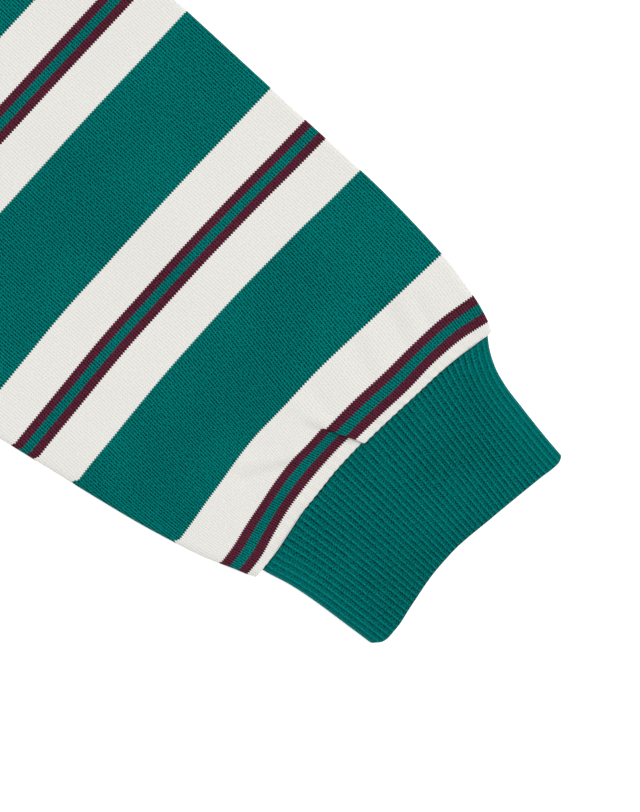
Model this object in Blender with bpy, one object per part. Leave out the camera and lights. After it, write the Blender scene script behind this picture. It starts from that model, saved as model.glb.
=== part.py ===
"""A long-sleeved jersey t-shirt with ribbed cuffs and neckband, laid flat with its front up.

X runs across the chest, +Y runs up to the neck and +Z is up from the surface the shirt lies on.
Every piece is a closed wall of cloth, cut and sewn as on the real shirt: front, back, two sleeves,
two cuffs and a neckband. The back, the under layer of the sleeves and cuffs, and the back half of the
neckband rest flat at z = 0, and the upper layers lie on them.
"""

import math
from collections import namedtuple

import bmesh
import bpy
import numpy as np

MM = 0.001

# Cloth
JERSEY = 1.2 * MM
RIB_CLOTH = 2.2 * MM
SEAM_GAP = 0.3 * MM
LAID_HEIGHT = 3.6 * MM
RIBBED_HEIGHT = 5.0 * MM
RIB_PITCH = 2.1 * MM
RIB_RISE = 0.45 * MM
CUFF_RIBS = 47

# Body, with lengths measured down from the high shoulder points
HALF_CHEST = 282 * MM
BODY_LENGTH = 670 * MM
ARMPIT_DROP = 321 * MM
SHOULDER_TIP_X = 292 * MM
SHOULDER_DROP = 64 * MM
ARMHOLE_BOW = 7 * MM
ARMHOLE_KNOTS = (0, 0.25, 0.5, 0.75, 1)
HALF_NECK = 95 * MM
FRONT_NECK_DROP = 98 * MM
BACK_NECK_DROP = 20 * MM
NECKBAND_WIDTH = 18 * MM
NECKBAND_TIP_IN = 9 * MM
NECKBAND_TIP_UP = 16 * MM

# Sleeve and cuff; the fold of the sleeve runs down and out from the shoulder tip
SLEEVE_ANGLE = math.radians(42.5)
SLEEVE_LENGTH = 496.4 * MM

# The sections lie straight across near the cuff, then fan out up to the slanting armhole
UNDERARM_SEAM = 330
FAN_START = 50
FAN_EASE = 1.2
SLANT_START = 92.5
GATHER_REACH = 14

# Folds fade out at a tube's sides, at this many times the share across, and by the seam, over this many mm
EDGE_FADE = 8
SEAM_FADE = 1.5

# The bounding box is centred on the origin
LIFT_Y = (BODY_LENGTH - NECKBAND_TIP_UP) / 2
MID_HEIGHT = LAID_HEIGHT / 2

# At a distance up from the cuff seam, how far the fold edge has moved in and how far off the underarm edge is
SleeveEdge = namedtuple("SleeveEdge", "above_cuff fold_in underarm")
SLEEVE_EDGES = (
    SleeveEdge(0.0, 13.6, 122.7),
    SleeveEdge(0.8, 11.6, 124.3),
    SleeveEdge(2.2, 10.0, 125.2),
    SleeveEdge(5.0, 8.3, 126.9),
    SleeveEdge(11.6, 6.0, 129.4),
    SleeveEdge(18.4, 4.6, 132.0),
    SleeveEdge(25.2, 3.2, 134.3),
    SleeveEdge(32.0, 2.0, 136.2),
    SleeveEdge(45.6, 0.9, 139.6),
    SleeveEdge(62.0, 0.0, 143.0),
    SleeveEdge(92.5, 0.0, 148.9),
    SleeveEdge(UNDERARM_SEAM, 0.0, 196.4),
)

# How high the laid sleeve stands, and how far the middle of a section is drawn up from a straight line
SleeveSection = namedtuple("SleeveSection", "above_cuff height drawn_up")
SLEEVE_SECTIONS = (
    SleeveSection(0.0, 5.0, 8.8),
    SleeveSection(1.5, 5.6, 8.4),
    SleeveSection(4.0, 6.0, 7.8),
    SleeveSection(8.0, 6.0, 7.0),
    SleeveSection(14.0, 5.6, 6.1),
    SleeveSection(22.0, 5.1, 5.0),
    SleeveSection(31.0, 4.7, 4.1),
    SleeveSection(50.0, 4.2, 3.1),
    SleeveSection(69.0, 4.0, 2.4),
    SleeveSection(93.0, 3.8, 1.7),
    SleeveSection(200.0, 3.6, 0.8),
    SleeveSection(UNDERARM_SEAM, 3.6, 0.0),
    SleeveSection(500.0, 3.6, 0.0),
)
FAR_SECTIONS = (UNDERARM_SEAM, 290, 245, 200, 158, 122, 93, 69, 50)
NEAR_SECTIONS = (38, 31, 25, 20, 16, 12.5, 9.5, 7, 4.8, 3, 1.4, 0)

# The share of that drawing up, across the sleeve from the fold to the underarm, at the cuff and further up
DrawnShare = namedtuple("DrawnShare", "across at_cuff further_up")
DRAWN_SHARES = (
    DrawnShare(0.00, 0.00, 0.00),
    DrawnShare(0.03, 0.28, 0.10),
    DrawnShare(0.10, 0.46, 0.34),
    DrawnShare(0.20, 0.60, 0.56),
    DrawnShare(0.34, 0.73, 0.76),
    DrawnShare(0.48, 0.88, 0.94),
    DrawnShare(0.57, 1.00, 1.00),
    DrawnShare(0.68, 0.96, 0.92),
    DrawnShare(0.80, 0.84, 0.72),
    DrawnShare(0.90, 0.64, 0.42),
    DrawnShare(1.00, 0.44, 0.10),
)

# Soft folds in the top layer of the sleeve: above the cuff and across from the fold's line, in mm
SleeveFold = namedtuple("SleeveFold", "above_1 across_1 above_2 across_2 width rise")
SLEEVE_FOLDS = (
    SleeveFold(3, 71, 20, 68, 3.4, 1.5),
    SleeveFold(2, 75.5, 16, 74.5, 1.8, -1.6),
    SleeveFold(14, 80, 20, 100, 4.5, 0.8),
    SleeveFold(4, 26, 26, 28, 4.5, 0.8),
    SleeveFold(4, 42, 30, 37, 5.0, 0.7),
    SleeveFold(4, 58, 20, 57, 4.5, 0.6),
    SleeveFold(4, 98, 18, 100, 4.5, 0.7),
    SleeveFold(4, 112, 16, 116, 4.0, 0.5),
    SleeveFold(60, 60, 150, 52, 16.0, 0.8),
    SleeveFold(120, 120, 260, 150, 18.0, 0.9),
    SleeveFold(320, 45, 420, 85, 16.0, 1.2),
    SleeveFold(300, 120, 400, 165, 14.0, 1.0),
)

# Soft folds in the front, in mm from the centre line and down from the high shoulder points
FrontFold = namedtuple("FrontFold", "x_1 down_1 x_2 down_2 width rise")
FRONT_FOLDS = (
    FrontFold(230, 300, 120, 420, 20, 1.2),
    FrontFold(-225, 310, -140, 455, 22, 1.1),
    FrontFold(60, 330, 95, 600, 26, 0.9),
    FrontFold(-70, 360, -40, 610, 28, 0.9),
    FrontFold(150, 150, 215, 235, 18, 0.8),
    FrontFold(-150, 150, -210, 240, 18, 0.8),
)

# The cuff's two sides and its open edge, in the sleeve's own directions, in mm
CuffSide = namedtuple("CuffSide", "below_seam fold_in underarm")
CUFF_SIDES = (
    CuffSide(0.0, 13.6, 122.7),
    CuffSide(3.0, 15.6, 121.0),
    CuffSide(8.8, 18.7, 119.5),
    CuffSide(15.6, 20.7, 118.5),
    CuffSide(22.4, 21.9, 117.6),
    CuffSide(29.2, 23.0, 117.0),
    CuffSide(36.0, 24.1, 116.3),
    CuffSide(43.0, 25.0, 115.8),
)
CuffEnd = namedtuple("CuffEnd", "across below_seam")
CUFF_END = (
    CuffEnd(0.00, 44.0),
    CuffEnd(0.03, 45.6),
    CuffEnd(0.12, 44.6),
    CuffEnd(0.35, 41.6),
    CuffEnd(0.55, 39.6),
    CuffEnd(0.66, 39.5),
    CuffEnd(0.80, 41.4),
    CuffEnd(0.90, 43.0),
    CuffEnd(0.96, 42.8),
    CuffEnd(1.00, 40.0),
)
CUFF_ROWS = (0.0, 0.08, 0.2, 0.38, 0.68, 1.0)

FOLD_ARC = (45, 0, -45)
UNDERARM_HALF = (0, 0.06, 0.13, 0.2, 0.27, 0.33, 0.38, 0.41, 0.43, 0.45)
FOLD_HALF = (0.475, 0.52, 0.58, 0.65, 0.72, 0.79, 0.87, 1)
SLEEVE_TOPS = UNDERARM_HALF + FOLD_HALF
TUBE_BOTTOMS = (0, 0.06, 0.2, 0.34, 0.52, 0.72, 0.87, 0.94, 1)
EDGE_ARC = (90, 60, 30, 0)
NECK_STEPS = 14
CURVE_SAMPLES = 40

# Where the panels' grids turn a corner: at the high shoulder point across, and at the armpit going up
NECK_SHARE = 0.34
ARMPIT_SHARE = 0.576
SHOULDER_SHARES = (0.28, 0.55, 0.8)
SIDE_SHARES = (0, 0.2, 0.4, 0.6, 0.8, 1.0)
ARMHOLE_SHARES = (0.02, 0.12, 0.25, 0.5, 0.75, 0.9)
EDGE_STEP = 0.02

GREEN = (0.0, 0.125, 0.115, 1)
CREAM = (0.79, 0.77, 0.72, 1)

sleeve_down = np.array((math.cos(SLEEVE_ANGLE), -math.sin(SLEEVE_ANGLE)))
sleeve_across = np.array((-math.sin(SLEEVE_ANGLE), -math.cos(SLEEVE_ANGLE)))
shoulder_tip = np.array((SHOULDER_TIP_X, -SHOULDER_DROP))
armpit = np.array((HALF_CHEST, -ARMPIT_DROP))


def column(table, name):
    return [getattr(row, name) for row in table]


def smooth(table, key, value, at):
    """A table's value at a place between its rows, eased through each row by a monotone cubic."""
    x = np.array(column(table, key), float)
    y = np.array(column(table, value), float)
    slope = np.diff(y) / np.diff(x)
    tangent = np.concatenate(([slope[0]], (slope[:-1] + slope[1:]) / 2, [slope[-1]]))
    turning = slope[:-1] * slope[1:] <= 0
    tangent[1:-1][turning] = 0
    at = min(max(at, x[0]), x[-1])
    i = min(int(np.searchsorted(x, at, side="right")) - 1, len(x) - 2)
    step = x[i + 1] - x[i]
    t = (at - x[i]) / step
    return (
        (2 * t**3 - 3 * t**2 + 1) * y[i]
        + (t**3 - 2 * t**2 + t) * step * tangent[i]
        + (3 * t**2 - 2 * t**3) * y[i + 1]
        + (t**3 - t**2) * step * tangent[i + 1]
    )


def along(points, share):
    """The point at a share of a polyline's length."""
    points = np.asarray(points, float)
    run = np.concatenate(([0], np.cumsum(np.linalg.norm(np.diff(points, axis=0), axis=1))))
    at = share * run[-1]
    return np.array([np.interp(at, run, points[:, k]) for k in range(points.shape[1])])


def ridge(p, start, end, width):
    """How near p is to the line from start to end: 1 on it, fading over its width and past its ends."""
    p, start, end = (np.asarray(v, float) for v in (p, start, end))
    line = end - start
    share = min(max(float((p - start) @ line) / float(line @ line), 0), 1)
    gap = float(np.linalg.norm(p - start - share * line))
    return math.exp(-((gap / width) ** 2))


def wall(name, outer, inner, closed, colour):
    """A closed solid between two grids of points, rows by columns. Closed columns run round in a ring."""
    outer, inner = np.asarray(outer, float), np.asarray(inner, float)
    rows, columns = outer.shape[:2]
    bm = bmesh.new()
    skins = []
    for grid in (outer, inner):
        skins.append([[bm.verts.new(p) for p in row] for row in grid])
    last = columns if closed else columns - 1
    for skin in skins:
        for i in range(rows - 1):
            for j in range(last):
                k = (j + 1) % columns
                bm.faces.new((skin[i][j], skin[i][k], skin[i + 1][k], skin[i + 1][j]))
    for i in (0, rows - 1):
        for j in range(last):
            k = (j + 1) % columns
            bm.faces.new((skins[0][i][j], skins[0][i][k], skins[1][i][k], skins[1][i][j]))
    if not closed:
        for j in (0, columns - 1):
            for i in range(rows - 1):
                bm.faces.new((skins[0][i][j], skins[0][i + 1][j], skins[1][i + 1][j], skins[1][i][j]))
    bmesh.ops.recalc_face_normals(bm, faces=bm.faces)
    mesh = bpy.data.meshes.new(name)
    bm.to_mesh(mesh)
    bm.free()
    shirt = bpy.data.objects.new(name, mesh)
    mesh.materials.append(cloth_material(name, colour))
    mesh.shade_smooth()
    mesh.set_sharp_from_angle(angle=math.radians(40))
    return shirt


def cloth_material(name, colour):
    material = bpy.data.materials.new(name + "_cloth")
    material.use_nodes = True
    shader = material.node_tree.nodes["Principled BSDF"]
    shader.inputs["Base Color"].default_value = colour
    shader.inputs["Roughness"].default_value = 0.9
    shader.inputs["Metallic"].default_value = 0.0
    return material


def place(plan, z):
    """A point from its plan place, in body lengths, and its height."""
    return (plan[0], plan[1] + LIFT_Y, z)


# Flattened tubes: sleeves, cuffs and neckband


def fold_points(curve, end, height, thick, angles):
    """Outer and inner points round the fold at one end of a section's curve, at angles above level."""
    inset = fold_inset(curve, height)
    edge = curve(end)
    centre = curve(inset if end == 0 else 1 - inset)
    out = (edge - centre) / np.linalg.norm(edge - centre)
    outer, inner = [], []
    for angle in np.radians(angles):
        for ring, radius in ((outer, height / 2), (inner, height / 2 - thick)):
            ring.append(place(centre + out * radius * math.cos(angle), height / 2 + radius * math.sin(angle)))
    return outer, inner


def flat_points(curve, shares, height, top, bottom):
    """Points along a section's curve between its two folds, at the heights that top and bottom give."""
    inset = fold_inset(curve, height)
    first, second = [], []
    for share in shares:
        plan = curve(inset + (1 - 2 * inset) * share)
        first.append(place(plan, top(plan, share)))
        second.append(place(plan, bottom(plan, share)))
    return first, second


def fold_inset(curve, height):
    """The share of a curve that its folded end takes: half the tube's height."""
    points = [curve(i / CURVE_SAMPLES) for i in range(CURVE_SAMPLES + 1)]
    return height / 2 / np.linalg.norm(np.diff(points, axis=0), axis=1).sum()


def chorded(curve, shares, height):
    """The curve as straight chords between the places where a flattened tube's points lie on it."""
    inset = fold_inset(curve, height)
    knots = [0.0] + [inset + (1 - 2 * inset) * s for s in shares] + [1.0]
    points = np.array([curve(knot) for knot in knots])
    return lambda share: np.array([np.interp(share, knots, points[:, k]) for k in (0, 1)])


def flattened_ring(curves, shares, height, thick, top_rise, inside_rise):
    """One section of a flattened tube, from its curve's start over the top to its end and back underneath.

    Curves and shares are those of the upper layer and the lower one. top_rise gives what the upper layer's
    outer and inner faces add to their heights, and inside_rise what the lower layer's inner face adds.
    """
    upper, lower = curves

    def top(plan, share):
        return height + top_rise(plan, share)[0]

    def top_inside(plan, share):
        return height - thick + top_rise(plan, share)[1]

    def bottom(plan, share):
        return 0.0

    def bottom_inside(plan, share):
        return thick + inside_rise(share)

    top_out, top_in = flat_points(upper, shares[0], height, top, top_inside)
    low_out, low_in = flat_points(lower, shares[1], height, bottom, bottom_inside)
    above = [angle for angle in FOLD_ARC if angle >= 0]
    below = [angle for angle in FOLD_ARC if angle < 0]
    far_up = fold_points(upper, 1, height, thick, above)
    far_low = fold_points(lower, 1, height, thick, below)
    near_low = fold_points(lower, 0, height, thick, below[::-1])
    near_up = fold_points(upper, 0, height, thick, above[::-1])
    outer = top_out + far_up[0] + far_low[0] + low_out[::-1] + near_low[0] + near_up[0]
    inner = top_in + far_up[1] + far_low[1] + low_in[::-1] + near_low[1] + near_up[1]
    return outer, inner


def plain(share):
    return 0.0


def ribs(count):
    """Crests and valleys by turns at the shares along a curve that rib_shares gives."""

    def rise(share):
        return round(share * 2 * count) % 2 * RIB_RISE

    return rise


def rib_shares(count):
    return [i / (2 * count) for i in range(2 * count + 1)]


# Sleeve


def armhole(share):
    """The armhole seam from the armpit to the shoulder tip, bowed in towards the body in straight chords."""
    bow = np.interp(share, ARMHOLE_KNOTS, [math.sin(math.pi * knot) for knot in ARMHOLE_KNOTS])
    return armpit + (shoulder_tip - armpit) * share - np.array((ARMHOLE_BOW * bow, 0.0))


def sleeve_place(above_cuff, across):
    """A plan place on the sleeve from mm above the cuff seam and mm across from the fold's line."""
    return shoulder_tip + sleeve_down * (SLEEVE_LENGTH - above_cuff * MM) + sleeve_across * across * MM


def drawn_up(above_cuff, share):
    """How far the gathers draw the cloth up the sleeve, in mm, at a share across from the fold."""
    near = max(0.0, 1 - above_cuff / GATHER_REACH)
    drawn = smooth(DRAWN_SHARES, "across", "at_cuff", share) * near
    drawn += smooth(DRAWN_SHARES, "across", "further_up", share) * (1 - near)
    return drawn * smooth(SLEEVE_SECTIONS, "above_cuff", "drawn_up", above_cuff)


def fan_end(above_cuff):
    """Where a section that starts this far up the underarm ends on the longer fold edge."""
    share = max(0.0, (above_cuff - FAN_START) / (UNDERARM_SEAM - FAN_START))
    return above_cuff + (SLEEVE_LENGTH / MM - UNDERARM_SEAM) * share**FAN_EASE


def sleeve_section(above_cuff):
    """The section's curve, from the underarm to the fold, at a distance up the underarm edge in mm."""
    fold_in = smooth(SLEEVE_EDGES, "above_cuff", "fold_in", above_cuff)
    underarm = smooth(SLEEVE_EDGES, "above_cuff", "underarm", above_cuff)
    fan = fan_end(above_cuff) - above_cuff
    slant = max(0.0, (above_cuff - SLANT_START) / (UNDERARM_SEAM - SLANT_START))

    def curve(share):
        across = underarm + (fold_in - underarm) * share
        straight = sleeve_place(above_cuff + fan * share + drawn_up(above_cuff, 1 - share), across)
        on_seam = armhole(share) + np.array((SEAM_GAP / 2, 0.0))
        return straight + (on_seam - straight) * slant**2

    return curve


def sleeve_rise(section_above):
    """The folds of the top layer over a section, in both its faces, faded out by the seam and the sides."""

    def rise(plan, share):
        above = (SLEEVE_LENGTH - float((plan - shoulder_tip) @ sleeve_down)) / MM
        across = float((plan - shoulder_tip) @ sleeve_across) / MM
        total = 0.0
        for fold in SLEEVE_FOLDS:
            start, end = (fold.above_1, fold.across_1), (fold.above_2, fold.across_2)
            total += fold.rise * MM * ridge((above, across), start, end, fold.width)
        total *= min(1.0, EDGE_FADE * share, EDGE_FADE * (1 - share), section_above / SEAM_FADE)
        return total, total

    return rise


def make_sleeve(name):
    outer, inner = [], []
    for above in FAR_SECTIONS + NEAR_SECTIONS:
        curve = sleeve_section(above)
        height = smooth(SLEEVE_SECTIONS, "above_cuff", "height", above) * MM
        shares = (SLEEVE_TOPS, TUBE_BOTTOMS)
        ring = flattened_ring((curve, curve), shares, height, JERSEY, sleeve_rise(above), plain)
        outer.append(ring[0])
        inner.append(ring[1])
    return wall(name, outer, inner, True, CREAM)


# Cuff


def cuff_section(down):
    """The cuff's curve at a share of its depth, from the underarm side to the fold side."""
    gap = SEAM_GAP / MM

    def curve(share):
        across = 1 - share
        seam = -drawn_up(0.0, across) + gap
        end = smooth(CUFF_END, "across", "below_seam", across)
        below = seam + (end - seam) * down
        side = CUFF_SIDES[-1].below_seam * down
        fold_side = smooth(CUFF_SIDES, "below_seam", "fold_in", side)
        underarm = smooth(CUFF_SIDES, "below_seam", "underarm", side)
        return sleeve_place(-below, underarm + (fold_side - underarm) * share)

    return curve


def make_cuff(name):
    """Its ribs stand on the outer face only, over a plain inside."""
    rib = ribs(CUFF_RIBS)
    shares = (rib_shares(CUFF_RIBS), TUBE_BOTTOMS)
    outer, inner = [], []
    for down in CUFF_ROWS:
        curve = cuff_section(down)
        curves = (curve, curve)
        if down == 0:
            curves = (chorded(curve, SLEEVE_TOPS, RIBBED_HEIGHT), chorded(curve, TUBE_BOTTOMS, RIBBED_HEIGHT))
        ring = flattened_ring(curves, shares, RIBBED_HEIGHT, RIB_CLOTH, lambda plan, s: (rib(s), 0.0), plain)
        outer.append(ring[0])
        inner.append(ring[1])
    return wall(name, outer, inner, True, GREEN)


# Neckline


def neckline(drop, up, half, shape, steps=2 * NECK_STEPS):
    """A curve under the line between the two sides of the neck, from the right side to the left.

    Its shape is 1 for half an ellipse, as at the front, and 2 for a shallow arc, as at the back.
    """
    angles = [math.pi * i / steps for i in range(steps + 1)]
    return [np.array((half * math.cos(a), up - drop * math.sin(a) ** shape)) for a in angles]


def band_lines(share):
    """The neckband's front and back lines, from its seam at share 0 to its folded edge at 1."""
    half = HALF_NECK - SEAM_GAP / 2 - NECKBAND_TIP_IN * share
    up = NECKBAND_TIP_UP * share
    lift = up - NECKBAND_WIDTH * share - SEAM_GAP / 2
    front, back = (FRONT_NECK_DROP + lift, up, half, 1), (BACK_NECK_DROP + lift, up, half, 2)
    return neckline(*front), neckline(*back)


def make_neckband(name):
    """The band as a flattened ring: its front lies on top, its back underneath, folded at both shoulders."""
    runs = [np.linalg.norm(np.diff(line, axis=0), axis=1).sum() for line in band_lines(0.0)]
    front_count, back_count = (round(run / RIB_PITCH) for run in runs)
    front_rib, back_rib = ribs(front_count), ribs(back_count)
    shares = (rib_shares(front_count), rib_shares(back_count))
    outer, inner = [], []
    for share in (0.0, 1.0):
        curves = [lambda s, line=line: along(line, s) for line in band_lines(share)]
        ring = flattened_ring(
            curves, shares, RIBBED_HEIGHT, RIB_CLOTH, lambda plan, s: (front_rib(s), 0.0), back_rib
        )
        outer.append(ring[0])
        inner.append(ring[1])
    return wall(name, outer, inner, True, GREEN)


# Front and back


def panel_plan(neck_drop, neck_shape):
    """The function from shares across half a panel and up it to a plan place, blended between its edges."""
    inset = np.array((SEAM_GAP / 2, 0.0))
    neck = neckline(neck_drop + SEAM_GAP / 2, 0, HALF_NECK + SEAM_GAP / 2, neck_shape)[NECK_STEPS::-1]
    hem_centre, hem_side = np.array((0.0, -BODY_LENGTH)), np.array((HALF_CHEST, -BODY_LENGTH))
    tip = shoulder_tip - inset

    def top(u):
        if u <= NECK_SHARE:
            step = u / NECK_SHARE * NECK_STEPS
            i = min(int(step), NECK_STEPS - 1)
            return neck[i] + (neck[i + 1] - neck[i]) * (step - i)
        return neck[-1] + (tip - neck[-1]) * (u - NECK_SHARE) / (1 - NECK_SHARE)

    def side(v):
        if v <= ARMPIT_SHARE:
            return hem_side + (armhole(0) - inset - hem_side) * v / ARMPIT_SHARE
        return armhole((v - ARMPIT_SHARE) / (1 - ARMPIT_SHARE)) - inset

    def plan(u, v):
        hem = hem_centre + (hem_side - hem_centre) * u
        centre = hem_centre + (neck[0] - hem_centre) * v
        low = (1 - u) * hem_centre + u * hem_side
        high = (1 - u) * neck[0] + u * tip
        return (1 - v) * (hem - low) + v * (top(u) - high) + (1 - u) * centre + u * side(v)

    return plan


def panel_shares():
    """Shares across half a panel and up it. The last few are close together, where the edge turns down."""
    turn = [MID_HEIGHT * (1 - math.sin(math.radians(angle))) for angle in EDGE_ARC]
    neck = [NECK_SHARE * i / NECK_STEPS for i in range(NECK_STEPS + 1)]
    shoulder = [NECK_SHARE + (1 - NECK_SHARE) * s for s in SHOULDER_SHARES]
    across = neck + shoulder + [1 - inward / HALF_CHEST for inward in reversed(turn)]
    below = [ARMPIT_SHARE * s for s in SIDE_SHARES]
    beside = [ARMPIT_SHARE + (1 - ARMPIT_SHARE) * s for s in ARMHOLE_SHARES]
    height = BODY_LENGTH - SHOULDER_DROP / 2
    return across, below + beside + [1 - inward / height for inward in reversed(turn)]


def edge_turn(plan, u, v):
    """The way in from the nearest sewn edge, and how far the cloth has turned level: 0 on it, 1 inside."""
    p = plan(u, v)
    edges = []
    if v <= ARMPIT_SHARE:
        edges.append((plan(1, v), plan(1 - EDGE_STEP, v)))
    if u >= NECK_SHARE:
        edges.append((plan(u, 1), plan(u, 1 - EDGE_STEP)))
    if not edges:
        return np.zeros(2), 1.0
    edge, inside = min(edges, key=lambda pair: np.linalg.norm(pair[0] - p))
    cosine = min(max(1 - np.linalg.norm(edge - p) / MID_HEIGHT, 0), 1)
    return (inside - edge) / np.linalg.norm(inside - edge) * cosine, math.sqrt(1 - cosine**2)


def make_panel(name, neck_drop, neck_shape, upper):
    """A body panel. Its sides and shoulders turn towards the other panel and meet it at half height."""
    plan = panel_plan(neck_drop, neck_shape)
    across, up = panel_shares()
    face = 1 if upper else -1
    outer, inner = [], []
    for v in up:
        row_out, row_in = [], []
        for mirror, shares in ((-1, across[:0:-1]), (1, across)):
            flip = np.array((mirror, 1))
            for u in shares:
                p = plan(u, v)
                inward, level = edge_turn(plan, u, v)
                fold = front_rise(p * flip) * level if upper else 0.0
                high = max(SEAM_GAP / 2, MID_HEIGHT * level)
                low = max(SEAM_GAP / 2, (MID_HEIGHT - JERSEY) * level)
                row_out.append(place(p * flip, MID_HEIGHT + face * high + fold))
                row_in.append(place((p + inward * JERSEY) * flip, MID_HEIGHT + face * low + fold))
        outer.append(row_out)
        inner.append(row_in)
    return wall(name, outer, inner, False, CREAM)


def front_rise(p):
    total = 0.0
    for fold in FRONT_FOLDS:
        start, end = (fold.x_1 * MM, -fold.down_1 * MM), (fold.x_2 * MM, -fold.down_2 * MM)
        total += fold.rise * MM * ridge(p, start, end, fold.width * MM)
    return total


def mirrored(piece, name):
    """The same piece on the other side of the shirt."""
    mesh = piece.data.copy()
    bm = bmesh.new()
    bm.from_mesh(mesh)
    bmesh.ops.scale(bm, vec=(-1, 1, 1), verts=bm.verts)
    bmesh.ops.reverse_faces(bm, faces=bm.faces)
    bm.to_mesh(mesh)
    bm.free()
    return bpy.data.objects.new(name, mesh)


def main():
    for old in list(bpy.data.objects):
        bpy.data.objects.remove(old)
    shirt = bpy.data.collections.new("striped_t_shirt")
    bpy.context.scene.collection.children.link(shirt)
    sleeve = make_sleeve("sleeve_left")
    cuff = make_cuff("cuff_left")
    pieces = (
        make_panel("back", BACK_NECK_DROP, 2, False),
        make_panel("front", FRONT_NECK_DROP, 1, True),
        sleeve,
        mirrored(sleeve, "sleeve_right"),
        cuff,
        mirrored(cuff, "cuff_right"),
        make_neckband("neckband"),
    )
    for piece in pieces:
        shirt.objects.link(piece)


main()
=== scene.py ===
"""The looks of a long-sleeved striped jersey t-shirt with ribbed cuffs and neckband, laid flat.

Each piece is a fine sheet of cloth laid on the form of its solid. Lengths along the cloth are in mm and
places in the shirt's frame are in metres: X across the chest, +Y up to the neck, +Z up.
"""

import math

import bmesh
import bpy
import numpy as np
from mathutils import Euler, Matrix, Vector


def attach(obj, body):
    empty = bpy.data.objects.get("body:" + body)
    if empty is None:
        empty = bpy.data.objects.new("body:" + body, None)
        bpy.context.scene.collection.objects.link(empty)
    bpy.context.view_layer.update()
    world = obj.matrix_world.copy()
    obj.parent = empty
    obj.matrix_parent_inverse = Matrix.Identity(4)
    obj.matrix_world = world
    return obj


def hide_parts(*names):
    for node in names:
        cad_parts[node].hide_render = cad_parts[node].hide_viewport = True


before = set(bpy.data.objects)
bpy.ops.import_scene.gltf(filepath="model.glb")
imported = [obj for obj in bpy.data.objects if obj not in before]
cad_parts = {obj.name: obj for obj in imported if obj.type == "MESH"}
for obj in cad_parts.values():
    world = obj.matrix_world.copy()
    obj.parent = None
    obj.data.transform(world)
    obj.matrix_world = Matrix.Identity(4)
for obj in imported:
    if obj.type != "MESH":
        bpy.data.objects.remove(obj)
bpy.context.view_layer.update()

MM = 0.001
TINY = 1e-6

# Cloth, in mm
JERSEY = 1.2
RIB_CLOTH = 2.2
SEAM_GAP = 0.3
LAID_HEIGHT = 3.6
RIBBED_HEIGHT = 5.0
RIB_PITCH = 1.9
RIB_RISE = 0.45
CUFF_RIBS = 47

# Body, with lengths measured down from the high shoulder points, in mm
HALF_CHEST = 282
BODY_LENGTH = 670
ARMPIT_DROP = 321
SHOULDER_TIP_X = 292
SHOULDER_DROP = 64
ARMHOLE_BOW = 7
HALF_NECK = 95
FRONT_NECK_DROP = 98
BACK_NECK_DROP = 20
NECKBAND_WIDTH = 18
NECKBAND_TIP_IN = 9
NECKBAND_TIP_UP = 16
HEM_DEPTH = 20
NEEDLE_GAP = 3

# Sleeve, in mm; its folded edge runs down and out from the shoulder tip
SLEEVE_ANGLE = math.radians(42.5)
SLEEVE_LENGTH = 496.4
UNDERARM_SEAM = 330
FAN_START = 112
FAN_EASE = 1.2
LIFT_Y = (BODY_LENGTH - NECKBAND_TIP_UP) / 2
MID_HEIGHT = LAID_HEIGHT / 2

# At a distance up from the cuff, how far in the folded edge is, how far off the underarm edge is, in mm
EDGE_ABOVE = (0, 0.8, 2.2, 5, 11.6, 18.4, 25.2, 32, 45.6, 62, 92.5, UNDERARM_SEAM)
FOLD_IN = (12.2, 10.8, 9.7, 8.4, 6.2, 4.6, 3.2, 2.3, 1.1, 0.2, 0.1, 0)
UNDERARM = (122.7, 124.1, 124.9, 126.4, 128.9, 131.7, 134.0, 135.8, 139.2, 142.6, 148.5, 196.4)

# How high the laid sleeve stands over a course this many mm of cloth above the cuff seam
HEIGHT_COURSE = (0, 1.5, 4, 8, 14, 22, 31, 50, 69, 93, 200)
HEIGHT = (5.6, 5.8, 6.0, 6.0, 5.6, 5.1, 4.7, 4.2, 4.0, 3.8, 3.6)

# Courses of the knit, in mm of cloth above the cuff seam, and the mm above the cuff's corner that each
# reaches at the shares across the sleeve, first from the folded edge to the tuck, then on to the underarm
COURSES = (0, 3.9, 13.1, 17.5, 28.5, 67, 107, 201.5, 521.5)
FOLD_SHARES = (0, 0.05, 0.1, 0.2, 0.3, 0.4, 0.5)
FOLD_SIDE = (
    (1.0, 2.0, 3.1, 4.6, 5.5, 6.5, 7.3),
    (4.2, 5.8, 7.2, 8.6, 8.8, 9.8, 10.5),
    (14.1, 15.5, 16.8, 18.0, 18.7, 19.9, 20.4),
    (18.9, 20.0, 21.1, 22.4, 23.2, 24.3, 24.8),
    (31.4, 31.9, 32.4, 33.5, 34.7, 35.7, 35.9),
    (70.9, 71.2, 71.5, 72.4, 72.9, 73.3, 73.4),
    (111.9, 112.0, 112.1, 112.4, 112.6, 112.6, 112.6),
    (206.9, 206.9, 206.9, 206.9, 206.9, 206.9, 206.9),
    (526.9, 526.9, 526.9, 526.9, 526.9, 526.9, 526.9),
)
UNDERARM_SHARES = (0.5, 0.56, 0.62, 0.7, 0.78, 0.86, 0.93, 1)
UNDERARM_SIDE = (
    (8.0, 8.2, 8.1, 7.4, 6.8, 5.4, 4.2, 3.7),
    (12.7, 13.0, 12.9, 12.4, 11.2, 9.2, 7.3, 6.6),
    (21.5, 21.4, 21.7, 21.0, 19.6, 18.2, 16.7, 15.9),
    (24.8, 25.3, 25.7, 25.2, 23.9, 22.5, 21.1, 20.2),
    (35.8, 36.0, 36.2, 35.6, 34.4, 33.3, 32.2, 31.3),
    (73.4, 73.3, 73.2, 72.8, 72.2, 71.5, 71.0, 70.2),
    (112.6, 112.5, 112.5, 112.2, 111.5, 110.8, 110.2, 109.6),
    (206.9, 206.9, 206.9, 206.9, 206.9, 206.9, 206.9, 206.9),
    (526.9, 526.9, 526.9, 526.9, 526.9, 526.9, 526.9, 526.9),
)
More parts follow.
